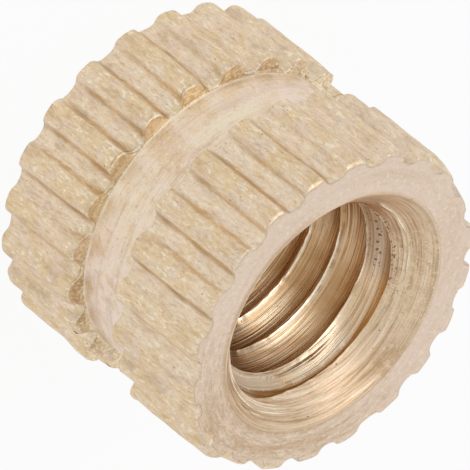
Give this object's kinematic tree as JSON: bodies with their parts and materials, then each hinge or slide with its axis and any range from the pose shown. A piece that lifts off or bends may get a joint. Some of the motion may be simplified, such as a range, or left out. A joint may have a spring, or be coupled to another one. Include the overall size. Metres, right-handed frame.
{
  "type": "threaded insert",
  "caption": "Short round brass insert with two straight-knurled bands, a smooth groove between them and a tapped through bore countersunk at both ends.",
  "frame": {"origin": "centre of the rear end, which the insert stands on", "axes": "+Z along the bore, towards the front face that the screw enters; +X through the middle of a valley of the knurl"},
  "size_m": [0.0074, 0.0074, 0.006],
  "materials": {
    "brass": "satin"
  },
  "bodies": {
    "root": {"insert": "brass"}
  },
  "joints": []
}
